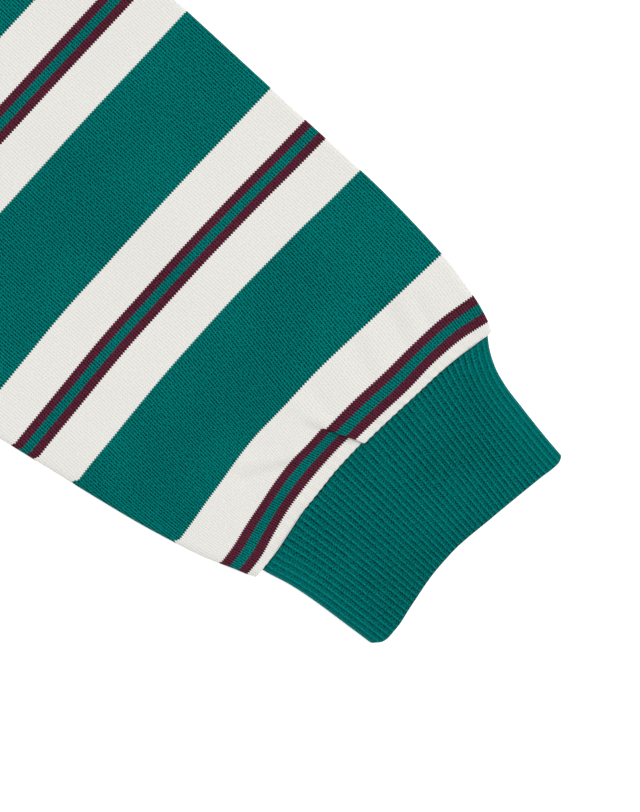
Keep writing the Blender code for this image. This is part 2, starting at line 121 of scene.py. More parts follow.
COURSE_LEAD = 5.4

# The cloth's own width between its two folds: at the cuff, and what it gains with each mm further up
CUT_WIDTH = 132
CUT_TAPER = 0.198
EASED_OUT = (95, 115)

# The tuck, where cloth from the folded side laps over the rest: its place across and its two slopes
TUCK_COURSES = (0, 16, 70)
TUCK_SHARES = (0.504, 0.547, 0.5)
TUCK_BAND = 0.004
TUCK_FADE = (6, 15)
LIP_WIDTH = 3.4
LIP_RISE = 1.2
HOLLOW_WIDTH = 2.4
HOLLOW_DEPTH = 0.8

# The underarm seam lies a little way in from the edge, and the stripes hook back beyond it
SEAM_ABOVE = (0, 11, 30, 54, 91, 150, 330)
SEAM_IN = (0.6, 0.9, 1.8, 2.7, 1.4, 0.8, 0.5)
SEAM_HOOK = 1.2
SEAM_DENT = 0.15
SEAM_DENT_WIDTH = 0.5

# Soft folds in the top layer of the sleeve, in mm above the cuff and across from the folded edge:
# above_1, across_1, above_2, across_2, width, rise
SLEEVE_FOLDS = (
    (32, 74, 21, 71.5, 3.0, 0.5),
    (24, 76.5, 19, 74, 2.2, -1.1),
    (34, 101, 22, 86, 3.2, 0.7),
    (28, 104, 20, 90, 2.6, -1.0),
    (32, 94, 27, 88, 2.6, -0.5),
    (33, 66, 22, 69, 2.6, -0.4),
    (33, 54, 18, 57, 5.0, 0.5),
    (32, 39, 20, 45, 4.0, 0.8),
    (32, 29, 20, 34, 3.6, -1.0),
    (27, 20, 19, 23, 2.2, -0.6),
    (28, 12, 16, 15, 3.6, 0.4),
    (10, 98, 18, 102, 4.5, 0.5),
    (8, 112, 18, 117, 4.0, 0.5),
    (60, 60, 150, 52, 16.0, 0.8),
    (120, 120, 260, 150, 18.0, 0.9),
    (320, 45, 420, 85, 16.0, 1.2),
    (300, 120, 400, 165, 14.0, 1.0),
)

# Folds start over this many mm above the cuff and fade at the sides, at this many times the share across
FOLD_START = 1.5
EDGE_FADE = 8

# Sections far up the sleeve are drawn to the armhole seam by this power of how far up they are
ARMHOLE_DRAW = 4

# The sleeve's sewn end is rounded down, scalloped at each stitch and finely puckered: pitch and rise, in mm
END_ROUND = 0.4
END_DROP = 0.25
SCALLOP_PITCH = 2.6
SCALLOP = 0.2
SCALLOP_DEEP = 1.0
SEWN_GAP = 0.05
PUCKERS = ((3.1, 0.10), (4.3, 0.08), (9.5, 0.10))
PUCKER_DEEP = 4.5

# The cuff's two sides, below its seam, and its open edge, at shares across from the folded side, in mm
CUFF_BELOW = (0, 3.0, 8.8, 15.6, 22.4, 29.2, 36.0, 43.0)
CUFF_FOLD_IN = (12.4, 15.1, 18.7, 21.0, 22.3, 23.5, 24.6, 25.5)
CUFF_UNDERARM = (122.4, 121.7, 120.1, 118.8, 117.9, 117.2, 116.5, 115.8)
END_SHARES = (0, 0.03, 0.12, 0.35, 0.55, 0.66, 0.80, 0.90, 0.96, 1)
END_BELOW = (46.3, 46.8, 45.6, 42.65, 40.6, 40.9, 42.75, 44.1, 43.9, 41.7)
CUFF_WIDTH = 95
CUFF_LENGTH = 47
SIDE_DRAW = 14

# The cuff dips at its seam, under the sleeve's end; by these shares of the way down it is level and ribbed
CUFF_DIP = 0.6
CUFF_LEVEL_BY = 0.022
RIBBED_BY = 0.03

# The crest of each numbered rib lies at a share across the cuff, closer set in the middle
CREST_SHARES = (0, 0.2, 0.506, 0.753, 1)
CREST_NUMBERS = (0, 9, 24, 36, 47)
ROUND_RIBS = 98
RIB_ROUNDING = 0.8

# Soft folds in the front, in mm from the centre line and down from the high shoulder points:
# x_1, down_1, x_2, down_2, width, rise
FRONT_FOLDS = (
    (230, 300, 120, 420, 18, 1.8),
    (-225, 310, -140, 455, 20, 1.6),
    (205, 340, 150, 470, 12, -0.8),
    (-200, 350, -165, 480, 12, -0.7),
    (60, 330, 95, 600, 22, 1.4),
    (-70, 360, -40, 610, 24, 1.4),
    (150, 150, 215, 235, 15, 1.2),
    (-150, 150, -210, 240, 15, 1.2),
)

# Knit: wales run up the cloth and courses across it, in mm; the stripes' repeat is in courses
WALE = 1.01
COURSE = 0.77
REPEAT = 102
FIRST_STRIPE = 5
RIB_STITCH = 1.02

# The two legs of a V stitch lean by this many courses a wale
STITCH_LEAN = 1.5

# Across a rib, from 0 to 1, a faint line of painted shade runs before the crest in its middle and a dark
# line of painted shade after it
SHADE_LINE = 0.82
FAINT_SHADE_LINE = 0.18

# This many ribs are drawn open at a cuff's laid sides, and handled cloth is uneven in patches of some mm
OPENED_RIBS = 6
PATCH = 30

sleeve_down = np.array((math.cos(SLEEVE_ANGLE), -math.sin(SLEEVE_ANGLE)))
sleeve_across = np.array((-math.sin(SLEEVE_ANGLE), -math.cos(SLEEVE_ANGLE)))
shoulder_tip = np.array((SHOULDER_TIP_X, -SHOULDER_DROP), float)
armpit = np.array((HALF_CHEST, -ARMPIT_DROP), float)


def eased(knots, values, at):
    """A table's values at places between its knots, eased by a monotone cubic."""
    x, y = np.array(knots, float), np.array(values, float)
    slope = np.diff(y) / np.diff(x)
    tangent = np.concatenate(([slope[0]], (slope[:-1] + slope[1:]) / 2, [slope[-1]]))
    tangent[1:-1][slope[:-1] * slope[1:] <= 0] = 0
    at = np.clip(at, x[0], x[-1])
    i = np.clip(np.searchsorted(x, at, side="right") - 1, 0, len(x) - 2)
    step = x[i + 1] - x[i]
    t = (at - x[i]) / step
    start = (2 * t**3 - 3 * t**2 + 1) * y[i] + (t**3 - 2 * t**2 + t) * step * tangent[i]
    return start + (3 * t**2 - 2 * t**3) * y[i + 1] + (t**3 - t**2) * step * tangent[i + 1]


def ramp(at, start, end):
    """0 before start and 1 after end, with a smooth step between them."""
    t = np.clip((at - start) / (end - start), 0, 1)
    return t * t * (3 - 2 * t)


def bump(x, width):
    """A soft bell: 1 at 0, and fading over the width."""
    return np.exp(-((x / width) ** 2))


def fold_rise(folds, x, y):
    """The height that soft folds add at places, each fading over its width and past its ends."""
    total = np.zeros_like(x)
    for x_1, y_1, x_2, y_2, width, rise in folds:
        run_x, run_y = x_2 - x_1, y_2 - y_1
        share = np.clip(((x - x_1) * run_x + (y - y_1) * run_y) / (run_x**2 + run_y**2), 0, 1)
        gap = np.hypot(x - x_1 - share * run_x, y - y_1 - share * run_y)
        total += rise * bump(gap, width)
    return total


def plan_place(plan, z):
    """Places in metres from plan places and heights in mm."""
    return np.stack((plan[..., 0] * MM, (plan[..., 1] + LIFT_Y) * MM, z * MM), axis=-1)


def sleeve_plan(above, across):
    """Plan places on the left sleeve, so far above the cuff and across from the folded edge."""
    along = (SLEEVE_LENGTH - above)[..., None] * sleeve_down
    return shoulder_tip + along + across[..., None] * sleeve_across


def armhole(share):
    """The armhole seam from the armpit to the shoulder tip, bowed in towards the body."""
    line = armpit + (shoulder_tip - armpit) * share[..., None]
    line[..., 0] -= ARMHOLE_BOW * np.sin(math.pi * share)
    return line


def read(items, name, width):
    """The values of a mesh's points or corners, a row for each."""
    values = np.empty(len(items) * width, np.float32)
    items.foreach_get(name, values)
    return values.reshape(-1, width)


# How near, in metres, the two ends of a ring of cloth meet
RING_MERGE = 2e-6


def laid_cloth(name, columns, rows, lay, ring, material, mirrored=False, turned=False):
    """A grid of cloth, laid by a function that gives the place and the knit's coordinates of every point.

    A ring's last column meets its first, and its last row too, so that it is a closed wall of cloth.
    """
    bm = bmesh.new()
    bm.loops.layers.uv.new("knit")
    bmesh.ops.create_grid(bm, x_segments=columns, y_segments=rows, size=1.0, calc_uvs=True)
    mesh = bpy.data.meshes.new(name)
    bm.to_mesh(mesh)
    places, knit = lay(*np.meshgrid(np.arange(columns + 1.0), np.arange(rows + 1.0), indexing="ij"))
    flat = read(mesh.vertices, "co", 3)
    i = np.rint((flat[:, 0] + 1) / 2 * columns).astype(int)
    j = np.rint((flat[:, 1] + 1) / 2 * rows).astype(int)
    laid = places[i, j]
    if mirrored:
        laid = laid * (-1, 1, 1)
    mesh.vertices.foreach_set("co", laid.astype(np.float32).ravel())
    corners = mesh.uv_layers["knit"].uv
    flat = read(corners, "vector", 2)
    i = np.rint(flat[:, 0] * columns).astype(int)
    j = np.rint(flat[:, 1] * rows).astype(int)
    corners.foreach_set("vector", knit[i, j].astype(np.float32).ravel())
    bm.clear()
    bm.from_mesh(mesh)
    if ring:
        bmesh.ops.remove_doubles(bm, verts=bm.verts, dist=RING_MERGE)
        bmesh.ops.recalc_face_normals(bm, faces=bm.faces)
    elif turned:
        bmesh.ops.reverse_faces(bm, faces=bm.faces)
    bm.to_mesh(mesh)
    bm.free()
    mesh.shade_smooth()
    mesh.materials.append(material)
    cloth = bpy.data.objects.new(name, mesh)
    bpy.context.scene.collection.objects.link(cloth)
    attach(cloth, "root")
    return cloth


# Round the sleeve: up to each column, the share across from the folded edge and the angle of the outside
SLEEVE_ROUND = (
    (0, 0, 90),
    (110, 0.5 - TUCK_BAND, 90),
    (120, 0.5 + TUCK_BAND, 90),
    (230, 1, 90),
    (240, 1, -90),
    (290, 0, -90),
    (300, 0, -270),
)

# Along the sleeve: up to each row, the course and the depth in the cloth, out over the top and back inside
SLEEVE_ALONG = (
    (0, UNDERARM_SEAM, 0),
    (40, 118, 0),
    (140, 40, 0),
    (200, 3, 0),
    (212, 0, 0),
    (214, 0, JERSEY),
    (224, 20, JERSEY),
    (230, 60, JERSEY),
    (236, UNDERARM_SEAM, JERSEY),
    (238, UNDERARM_SEAM, 0),
)


def course_place(course, share):
    """How far above the cuff's corner a course lies, at a share across, on both sides of the tuck."""
    fold_rows = [eased(FOLD_SHARES, row, share) for row in FOLD_SIDE]
    underarm_rows = [eased(UNDERARM_SHARES, row, share) for row in UNDERARM_SIDE]
    past = ramp(share, 0.5 - TUCK_BAND, 0.5 + TUCK_BAND)
    rows = [a + (b - a) * past for a, b in zip(fold_rows, underarm_rows)]
    above = rows[0]
    for k in range(len(COURSES) - 1):
        part = np.clip((course - COURSES[k]) / (COURSES[k + 1] - COURSES[k]), 0, 1)
        above = above + (rows[k + 1] - rows[k]) * part
    return above, rows


def course_at(above, rows):
    """The course that lies this far above the cuff's corner: course_place turned round."""
    course = np.zeros_like(above)
    for k in range(len(COURSES) - 1):
        part = np.clip((above - rows[k]) / (rows[k + 1] - rows[k]), 0, 1)
        course = course + (COURSES[k + 1] - COURSES[k]) * part
    return course


def lay_sleeve(column, row):
    """Lays the left sleeve: a flat tube of cloth, with its inside turned back from the cuff's end."""
    key, share, angle = zip(*SLEEVE_ROUND)
    share, angle = np.interp(column, key, share), np.radians(np.interp(column, key, angle))
    key, course, depth = zip(*SLEEVE_ALONG)
    course, depth = np.interp(row, key, course), np.interp(row, key, depth)
    radius = eased(HEIGHT_COURSE, HEIGHT, course) / 2
    return sleeve_points(share, angle, course, depth, radius)


def sleeve_points(share, angle, course, depth, radius):
    """Places and knit coordinates on the sleeve at shares across, angles round its folds and courses."""
    width = np.interp(course + COURSE_LEAD, EDGE_ABOVE, UNDERARM) - np.interp(course, EDGE_ABOVE, FOLD_IN)
    inset = radius / width
    outline_share = inset + (1 - 2 * inset) * share + inset * np.cos(angle)
    above, rows = course_place(course, outline_share)
    far = np.clip((course - FAN_START) / (UNDERARM_SEAM - FAN_START), 0, 1)
    fanned = (SLEEVE_LENGTH - UNDERARM_SEAM) * far**FAN_EASE * (1 - outline_share)
    above = above + fanned - COURSE_LEAD * far
    tuck = np.interp(course, TUCK_COURSES, TUCK_SHARES)
    low, high = outline_share * tuck / 0.5, tuck + (outline_share - 0.5) * (1 - tuck) / 0.5
    true_share = np.where(outline_share < 0.5, low, high)
    fold_in, underarm = eased(EDGE_ABOVE, FOLD_IN, above), eased(EDGE_ABOVE, UNDERARM, above)
    across = fold_in + (underarm - fold_in) * true_share
    across = across - depth * np.cos(angle)
    top = np.clip(np.sin(angle), 0, 1)
    scallop = SCALLOP * np.abs(np.sin(math.pi * outline_share * width / SCALLOP_PITCH))
    scallop = scallop * bump(course, SCALLOP_DEEP)
    plan = sleeve_plan(above - scallop, across)
    on_seam = armhole(1 - share) + (SEAM_GAP / 2, 0)
    plan = plan + (on_seam - plan) * (far**ARMHOLE_DRAW)[..., None]
    above = SLEEVE_LENGTH - (plan - shoulder_tip) @ sleeve_down
    across = (plan - shoulder_tip) @ sleeve_across

    z = radius + (radius - depth) * np.sin(angle)
    fade = np.clip(np.minimum(EDGE_FADE * share, EDGE_FADE * (1 - share)), 0, 1) * top
    rise = fold_rise(SLEEVE_FOLDS, above, across) * np.clip(course / FOLD_START, 0, 1)
    off = (outline_share - 0.5) * width
    for pitch, height in PUCKERS:
        rise += height * np.sin(2 * math.pi * off / pitch + pitch) * bump(course, PUCKER_DEEP)
    lap = 1 - ramp(course, *TUCK_FADE)
    before = ramp(-off, -TUCK_BAND * width, TUCK_BAND * width)
    rise += lap * LIP_RISE * bump(off, LIP_WIDTH) * before
    rise -= lap * HOLLOW_DEPTH * bump(off, HOLLOW_WIDTH) * (1 - before)
    drop = END_DROP * (1 - np.sqrt(1 - np.clip(1 - course / END_ROUND, 0, 1) ** 2))
    seam_off = underarm - across - np.interp(above, SEAM_ABOVE, SEAM_IN)
    z = z + rise * fade - (drop + SEAM_DENT * bump(seam_off, SEAM_DENT_WIDTH)) * top

    course_here = course_at(above, rows)
    cut = CUT_WIDTH + CUT_TAPER * course_here
    plain = ramp(course_here, *EASED_OUT)
    u = outline_share * cut * (1 - plain) + across * plain
    u = np.where(np.sin(angle) < -0.5, 2 * cut + math.pi * radius - u, u)
    hook = np.clip(-seam_off, 0, None) * top
    v = course_here - SEAM_HOOK * hook
    return plan_place(plan, z), np.stack((u, v), axis=-1)


def make_sleeve(name, mirrored, material):
    columns, rows = SLEEVE_ROUND[-1][0], SLEEVE_ALONG[-1][0]
    sleeve = laid_cloth(name + "_cloth", columns, rows, lay_sleeve, True, material,
                        mirrored)
    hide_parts(name)
    return sleeve


# Round the cuff as round the sleeve, and along it, up to each row, the share of the way to its open edge
TOP_COLUMNS = CUFF_RIBS * 8
UNDER_COLUMNS = CUFF_RIBS * 4
SIDE_COLUMNS = 24
CUFF_ROUND = (
    (0, 0, 90),
    (TOP_COLUMNS, 1, 90),
    (TOP_COLUMNS + SIDE_COLUMNS, 1, -90),
    (TOP_COLUMNS + SIDE_COLUMNS + UNDER_COLUMNS, 0, -90),
    (TOP_COLUMNS + 2 * SIDE_COLUMNS + UNDER_COLUMNS, 0, -270),
)
CUFF_ALONG = ((0, 0), (8, 0.05), (52, 0.97), (54, 0.98))
RIM_STEPS = 8
CUFF_INSIDE_ROWS = 8


def lay_cuff(column, row):
    """Lays the left cuff: ribbed all round, rolled over at its open edge and turned back inside."""
    key, share, angle = zip(*CUFF_ROUND)
    share, angle = np.interp(column, key, share), np.radians(np.interp(column, key, angle))
    inset = RIBBED_HEIGHT / 2 / CUFF_WIDTH
    crest = np.interp(inset + (1 - 2 * inset) * share, CREST_SHARES, CREST_NUMBERS)
    first, last = np.interp((inset, 1 - inset), CREST_SHARES, CREST_NUMBERS)
    turn = ROUND_RIBS / 2 - (last - first)
    past_side = np.interp(column, key, (0, 0, turn, turn, 2 * turn))
    under = 2 * last - np.where(column >= key[3], first, crest)
    ribs = 0.5 + past_side + np.where(column <= key[1], crest, under)
    start = CUFF_ALONG[-1][0]
    down = np.interp(row, *zip(*CUFF_ALONG))
    rim = np.clip((row - start) / RIM_STEPS, 0, 1) * math.pi
    roll = RIB_CLOTH / 2
    out = roll * np.sin(rim)
    depth = roll * (1 - np.cos(rim))
    back = np.clip((row - start - RIM_STEPS) / CUFF_INSIDE_ROWS, 0, 1)
    down = down * (1 - back)
    depth = np.where(row > start + RIM_STEPS + CUFF_INSIDE_ROWS, 0, depth)
    return cuff_points(share, angle, down, depth, out * (back == 0), ribs)


def cuff_points(share, angle, down, depth, out, ribs):
    """Places and knit coordinates on the cuff at shares across and down it and angles round its folds."""
    radius = RIBBED_HEIGHT / 2
    inset = radius / CUFF_WIDTH
    outline_share = inset + (1 - 2 * inset) * share + inset * np.cos(angle)
    seam = -course_place(np.zeros_like(share), outline_share)[0] + SEWN_GAP
    end = eased(END_SHARES, END_BELOW, outline_share) - RIB_CLOTH / 2
    below = seam + (end - seam) * down + out
    side = CUFF_BELOW[-1] * down
    fold_run = CUFF_FOLD_IN[0] + (CUFF_FOLD_IN[-1] - CUFF_FOLD_IN[0]) * down
    underarm_run = CUFF_UNDERARM[0] + (CUFF_UNDERARM[-1] - CUFF_UNDERARM[0]) * down
    width = underarm_run - fold_run - 2 * radius
    across = fold_run + radius + width * share + (radius - depth) * np.cos(angle)
    across += (eased(CUFF_BELOW, CUFF_FOLD_IN, side) - fold_run) * bump(width * share, SIDE_DRAW)
    across += (eased(CUFF_BELOW, CUFF_UNDERARM, side) - underarm_run) * bump(width * (1 - share), SIDE_DRAW)
    crest = rib_form(ribs) * RIB_RISE * ramp(down, 0, RIBBED_BY) * (depth < TINY)
    level = np.sin(angle)
    dip = CUFF_DIP * (1 - np.sqrt(1 - np.clip(1 - down / CUFF_LEVEL_BY, 0, 1) ** 2))
    z = radius + (radius - depth + crest / 2) * level + crest / 2 - dip * np.clip(level, 0, 1)
    z = np.clip(z, 0, None)
    plan = sleeve_plan(-below, across)
    u = ribs * RIB_PITCH
    v = down * CUFF_LENGTH + out
    return plan_place(plan, z), np.stack((u, v), axis=-1)


def rib_form(ribs):
    """A rib's rounded ridge over one pitch, from 0 in the valley to 1 on the crest."""
    return np.abs(np.sin(math.pi * ribs)) ** RIB_ROUNDING


def make_cuff(name, mirrored, material):
    columns = CUFF_ROUND[-1][0]
    rows = CUFF_ALONG[-1][0] + RIM_STEPS + CUFF_INSIDE_ROWS + 1
    cuff = laid_cloth(name + "_rib", columns, rows, lay_cuff, True, material, mirrored)
    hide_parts(name)
    return cuff


# Front and back

# Across a panel the share from its centre at each column, and up it the share from its hem at each row
PANEL_ACROSS = ((0, -1), (6, -0.9935), (12, -0.97), (84, 0), (156, 0.97), (162, 0.9935), (168, 1))
PANEL_UP = ((0, 0), (5, 0.0225), (21, 0.042), (130, 0.98), (136, 0.997), (142, 1))
NECK_SHARE = 0.34
ARMPIT_SHARE = 0.576
SHOULDER_RUN = 575
BODY_STRIPE = 14

# Over these shares past the armpit and before the neck, the panels' edges part
ARMPIT_EASE = (-0.004, 0.01)
NECK_EASE = (-0.02, 0)

# The needles' grooves, the step down from the doubled hem and the roll along the armhole seam, in mm
GROOVE = 0.3
GROOVE_WIDTH = 0.9
HEM_STEP = 0.25
ARMHOLE_ROLL = 0.6
SEAM_ROLL = 1.6


def panel_plan(u, v, drop, power):
    """Plan places at shares across half a panel and up it, blended between its four edges.

    The neck is a quarter of an ellipse at a power of 1, and runs out flatter to the shoulder at 2.
    """
    turn = math.pi / 2 * np.clip(u / NECK_SHARE, 0, 1)
    half, deep = HALF_NECK + SEAM_GAP / 2, drop + SEAM_GAP / 2
    neck = np.stack((half * np.sin(turn), -deep * np.cos(turn) ** power), axis=-1)
    past = np.clip((u - NECK_SHARE) / (1 - NECK_SHARE), 0, 1)[..., None]
    tip = shoulder_tip - (SEAM_GAP / 2, 0)
    top = neck + (tip - neck) * past
    hem_side, neck_low = np.array((HALF_CHEST, -BODY_LENGTH)), np.array((0, -deep))
    up_side = (v / ARMPIT_SHARE)[..., None]
    low_side = hem_side + (armpit - (SEAM_GAP / 2, 0) - hem_side) * up_side
    high_side = armhole(np.clip((v - ARMPIT_SHARE) / (1 - ARMPIT_SHARE), 0, 1)) - (SEAM_GAP / 2, 0)
    side = np.where(up_side <= 1, low_side, high_side)
    centre = np.stack((0 * v, -BODY_LENGTH + (BODY_LENGTH - deep) * v), axis=-1)
    u, v = u[..., None], v[..., None]
    high = (1 - u) * neck_low + u * tip
    return v * (top - high) + (1 - u) * centre + u * side


def panel_layer(drop, power, upper):
    """The function that lays a panel: its sides and shoulders turn in to meet the other panel's."""

    def lay(column, row):
        across = np.interp(column, *zip(*PANEL_ACROSS))
        up = np.interp(row, *zip(*PANEL_UP))
        u = np.abs(across)
        plan = panel_plan(u, up, drop, power)
        plan[..., 0] *= np.sign(across)
        x, down = plan[..., 0], -plan[..., 1]
        side_gap = (1 - u) * HALF_CHEST + ramp(up - ARMPIT_SHARE, *ARMPIT_EASE) * LAID_HEIGHT
        shoulder_gap = (1 - up) * SHOULDER_RUN + (1 - ramp(u - NECK_SHARE, *NECK_EASE)) * LAID_HEIGHT
        turned = np.clip(1 - np.minimum(side_gap, shoulder_gap) / MID_HEIGHT, 0, 1)
        level = np.sqrt(1 - turned**2)
        from_hem = BODY_LENGTH - down
        above_hem = from_hem - HEM_DEPTH
        dent = GROOVE * (bump(above_hem, GROOVE_WIDTH) + bump(above_hem - NEEDLE_GAP, GROOVE_WIDTH))
        dent -= HEM_STEP * ramp(NEEDLE_GAP / 2 - above_hem, -1, 1)
        dent += ARMHOLE_ROLL * bump((1 - u) * HALF_CHEST, SEAM_ROLL) * (up > ARMPIT_SHARE)
        if upper:
            z = MID_HEIGHT + np.maximum(SEAM_GAP / 2, MID_HEIGHT * level)
            z = z + (fold_rise(FRONT_FOLDS, x, down) - dent) * level**2
        else:
            z = MID_HEIGHT - np.maximum(SEAM_GAP / 2, MID_HEIGHT * level)
        return plan_place(plan, z), np.stack((x, from_hem + BODY_STRIPE), axis=-1)

    return lay


def make_panel(name, drop, power, upper, material):
    columns, rows = PANEL_ACROSS[-1][0], PANEL_UP[-1][0]
    panel = laid_cloth(name + "_cloth", columns, rows, panel_layer(drop, power, upper), False, material,
                       turned=not upper)
    wall = panel.modifiers.new("cloth", "SOLIDIFY")
    wall.thickness = JERSEY * MM
    wall.offset = -1
    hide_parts(name)
    return panel


# Twin-needle stitches, which hold up the front's hem and hold down its neck seam, in mm

STITCH = 2.4
STITCH_PITCH = 3.1
THREAD = 0.5
TWIST = 0.4
STITCHED_HALF = 275
NECK_NEEDLE = 3

# The neck's rows run this far each way from its middle, in radians, on a line this much past a half circle
STITCHED_TURN = 1.45
NECK_LENGTHENED = 1.03


def make_stitches(material):
    """Two rows of stitches along the hem and two round the front neck, each stitch a small long bead."""
    places = []
    for gap in (0, NEEDLE_GAP):
        for x in np.arange(-STITCHED_HALF, STITCHED_HALF, STITCH_PITCH):
            places.append((x, BODY_LENGTH - HEM_DEPTH - gap, 0.0, GROOVE))
        out = NECK_NEEDLE + gap
        count = round(NECK_LENGTHENED * math.pi * (HALF_NECK + out) / STITCH_PITCH)
        for turn in np.linspace(-STITCHED_TURN, STITCHED_TURN, count):
            x, down = (HALF_NECK + out) * math.sin(turn), (FRONT_NECK_DROP + out) * math.cos(turn)
            places.append((x, down, turn, 0.0))
    bm = bmesh.new()
    for x, down, turn, sunk in places:
        rise = fold_rise(FRONT_FOLDS, np.array([x]), np.array([down]))[0]
        place = Vector((x, LIFT_Y - down, LAID_HEIGHT + rise - sunk + THREAD / 4)) * MM
        size = Vector((STITCH, THREAD, THREAD)) * MM / 2
        bmesh.ops.create_icosphere(bm, subdivisions=1, radius=1.0,
                                   matrix=Matrix.LocRotScale(place, Euler((0, 0, turn)), size))
    mesh = bpy.data.meshes.new("twin_needle_stitches")
    bm.to_mesh(mesh)
    bm.free()
    mesh.shade_smooth()
    mesh.materials.append(material)
    stitches = bpy.data.objects.new("twin_needle_stitches", mesh)
    bpy.context.scene.collection.objects.link(stitches)
    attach(stitches, "root")
    return stitches


# Neckband

NECK_SAMPLES = 720
FRONT_RIBS = 144
BACK_RIBS = 96
NECK_RIB_COLUMNS = 6
NECK_TURN = 16
NECK_TURN_RIBS = 3
NECK_DENT = 1.2
NECK_DENT_WIDTH = 0.9
NECK_ROWS = ((0, 0.0), (2, 0.03), (10, 0.94))
NECK_INSIDE_ROWS = 3


def neck_curve(out, drop, power):
    """Plan places along a neckline, from the left shoulder to the right one, by a share of its length."""
    half = HALF_NECK - SEAM_GAP / 2 - NECKBAND_TIP_IN * out
    up = NECKBAND_TIP_UP * out
    deep = drop + up - NECKBAND_WIDTH * out - SEAM_GAP / 2
    angle = np.linspace(0, math.pi, NECK_SAMPLES + 1)
    line = np.stack((half * np.cos(angle), up - deep * np.sin(angle) ** power), axis=-1)
    run = np.concatenate(([0], np.cumsum(np.linalg.norm(np.diff(line, axis=0), axis=1))))

    def at(share):
        return np.stack([np.interp(share * run[-1], run, line[:, k]) for k in (0, 1)], axis=-1)

    return at, run[-1]


def lay_neckband(column, row):
    """Lays the neckband: its front half on its back half, rolled over at the top and turned back inside."""
    front_end = FRONT_RIBS * NECK_RIB_COLUMNS
    back_end = front_end + NECK_TURN + BACK_RIBS * NECK_RIB_COLUMNS
    keys = (0, front_end, front_end + NECK_TURN, back_end, back_end + NECK_TURN)
    share = np.interp(column, keys, (0, 1, 1, 0, 0))
    angle = np.radians(np.interp(column, keys, (90, 90, -90, -90, -270)))
    back_first = FRONT_RIBS + NECK_TURN_RIBS
    back_last = back_first + BACK_RIBS
    ribs = np.interp(column, keys, (0, FRONT_RIBS, back_first, back_last, back_last + NECK_TURN_RIBS))
    start = NECK_ROWS[-1][0]
    rim = np.clip((row - start) / RIM_STEPS, 0, 1) * math.pi
    back = np.clip((row - start - RIM_STEPS) / NECK_INSIDE_ROWS, 0, 1)
    out = (np.interp(row, *zip(*NECK_ROWS)) + RIB_CLOTH / 2 / NECKBAND_WIDTH * np.sin(rim)) * (1 - back)
    depth = RIB_CLOTH / 2 * (1 - np.cos(rim)) * (row <= start + RIM_STEPS + NECK_INSIDE_ROWS)
    radius = RIBBED_HEIGHT / 2
    plan = np.empty(column.shape + (2,))
    for j in range(column.shape[1]):
        for drop, power, chosen in (
            (FRONT_NECK_DROP, 1, np.sin(angle[:, j]) >= 0),
            (BACK_NECK_DROP, 2, np.sin(angle[:, j]) < 0),
        ):
            curve, run = neck_curve(out[0, j], drop, power)
            inset = radius / run
            place = curve(inset + (1 - 2 * inset) * share[chosen, j])
            reach = curve(share[chosen, j]) - place
            reach /= np.maximum(np.linalg.norm(reach, axis=-1, keepdims=True), TINY)
            sideways = np.cos(angle[chosen, j])
            reach[np.abs(sideways) < TINY] = 0
            plan[chosen, j] = place + reach * np.abs((radius - depth[chosen, j]) * sideways)[:, None]
    crest = rib_form(ribs) * RIB_RISE * (depth < TINY)
    level = np.sin(angle)
    z = radius + (radius - depth + crest / 2) * level + crest / 2
    z -= NECK_DENT * bump(out * NECKBAND_WIDTH, NECK_DENT_WIDTH) * np.clip(level, 0, 1) * (depth < TINY)
    u, v = ribs * RIB_PITCH, out * NECKBAND_WIDTH
    return plan_place(plan, np.clip(z, 0, None)), np.stack((u, v), axis=-1)


def make_neckband(material):
    columns = (FRONT_RIBS + BACK_RIBS) * NECK_RIB_COLUMNS + 2 * NECK_TURN
    rows = NECK_ROWS[-1][0] + RIM_STEPS + NECK_INSIDE_ROWS + 1
    band = laid_cloth("neckband_rib", columns, rows, lay_neckband, True, material)
    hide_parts("neckband")
    return band


# Materials


def linear(code):
    """A linear colour from an sRGB hex value."""
    parts = [int(code[i : i + 2], 16) / 255 for i in (1, 3, 5)]
    return [p / 12.92 if p <= 0.04045 else ((p + 0.055) / 1.055) ** 2.4 for p in parts] + [1.0]


def add(tree, kind, *values, **settings):
    """Adds a node: values set or link its inputs in order, with None to pass one by."""
    made = tree.nodes.new("ShaderNode" + kind)
    for name, value in settings.items():
        setattr(made, name, value)
    for socket, value in zip(made.inputs, values):
        if isinstance(value, bpy.types.Node):
            value = value.outputs[0]
        if isinstance(value, bpy.types.NodeSocket):
            tree.links.new(value, socket)
        elif value is not None:
            socket.default_value = value
    return made


def new_cloth(name):
    """A cotton knit's shader, with what is the same all over: no metal, a rough face and a faint sheen."""
    material = bpy.data.materials.new(name)
    material.use_nodes = True
    tree = material.node_tree
    shader = tree.nodes["Principled BSDF"]
    shader.inputs["Roughness"].default_value = 0.92
    shader.inputs["Metallic"].default_value = 0.0
    shader.inputs["Specular IOR Level"].default_value = 0.02
    shader.inputs["Sheen Weight"].default_value = 0.01
    shader.inputs["Sheen Roughness"].default_value = 0.5
    knit = add(tree, "UVMap", uv_map="knit")
    place = add(tree, "SeparateXYZ", knit)
    return material, tree, shader, place.outputs["X"], place.outputs["Y"]


def stripe_colours(tree, position, maroon, green, white):
    """Colours up the repeat: a narrow green stripe between two maroon ones, and a broad green, on white."""
    steps = ((0, maroon), (4, green), (8, maroon), (12, white), (32, green), (82, white))
    colours = add(tree, "ValToRGB", position)
    ramp_stops = colours.color_ramp
    ramp_stops.interpolation = "CONSTANT"
    for k, (course, colour) in enumerate(steps):
        stop = ramp_stops.elements[k] if k < 2 else ramp_stops.elements.new(course / REPEAT)
        stop.position = course / REPEAT
        stop.color = linear(colour)
    return colours


